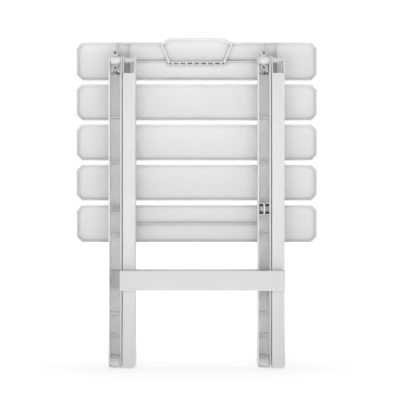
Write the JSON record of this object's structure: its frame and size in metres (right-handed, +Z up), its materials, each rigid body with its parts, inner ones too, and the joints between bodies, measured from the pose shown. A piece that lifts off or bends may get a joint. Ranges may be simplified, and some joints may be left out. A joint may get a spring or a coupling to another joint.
{
  "type": "folding side table",
  "caption": "Slatted moulded resin side table that folds flat: crossing leg frames hinge under one end of the top and hook under the other, with a pull tab on the end slat.",
  "frame": {"origin": "on the floor plane under the folded table, midway across the slats and at mid thickness of the leg frames", "axes": "+Z up, from the feet to the hinge end; +Y from the open underside through the table surface; +X across, to the right when looking along +Y at the underside"},
  "size_m": [0.4444, 0.07, 0.6056],
  "materials": {
    "white_resin": "fine moulded satin",
    "steel": "zinc plated"
  },
  "bodies": {
    "table_top": {"catch_hook_left": "white_resin", "catch_hook_right": "white_resin", "hinge_saddle_left": "white_resin", "hinge_saddle_right": "white_resin", "hook_screw_left": "steel", "hook_screw_right": "steel", "rail_left": "white_resin", "rail_right": "white_resin", "saddle_screw_left_lower": "steel", "saddle_screw_left_upper": "steel", "saddle_screw_right_lower": "steel", "saddle_screw_right_upper": "steel", "slat_1": "white_resin", "slat_2": "white_resin", "slat_3": "white_resin", "slat_4": "white_resin", "slat_5": "white_resin"},
    "hinged_legs": {"hinge_pin_left": "steel", "hinge_pin_right": "steel", "hinged_crossbar": "white_resin", "hinged_leg_left": "white_resin", "hinged_leg_right": "white_resin", "pivot_pin_right": "white_resin"},
    "catch_pins": {"catch_pin_left": "white_resin", "catch_pin_right": "white_resin"},
    "hooked_legs": {"hooked_crossbar": "white_resin", "hooked_leg_left": "white_resin", "hooked_leg_right": "white_resin", "pivot_pin_left": "white_resin"}
  },
  "joints": [
    {"name": "leg_hinge", "type": "hinge", "parent": "table_top", "child": "hinged_legs", "pos_m": [0, 0, 0.562], "axis": [-1, 0, 0], "range_deg": [0, 57]},
    {"name": "catch_travel", "type": "slide", "parent": "table_top", "child": "catch_pins", "axis": [0, 0, -1], "range_m": [0, 0.2967]},
    {"name": "hooked_frame_turn", "type": "hinge", "parent": "catch_pins", "child": "hooked_legs", "pos_m": [0, 0, 0.562], "axis": [-1, 0, 0], "range_deg": [0, 123]}
  ],
  "couplings": [
    {"joint": "catch_travel", "follows": "leg_hinge", "m_per_rad": 0.2982},
    {"joint": "hooked_frame_turn", "follows": "leg_hinge", "ratio": 2.1578}
  ]
}
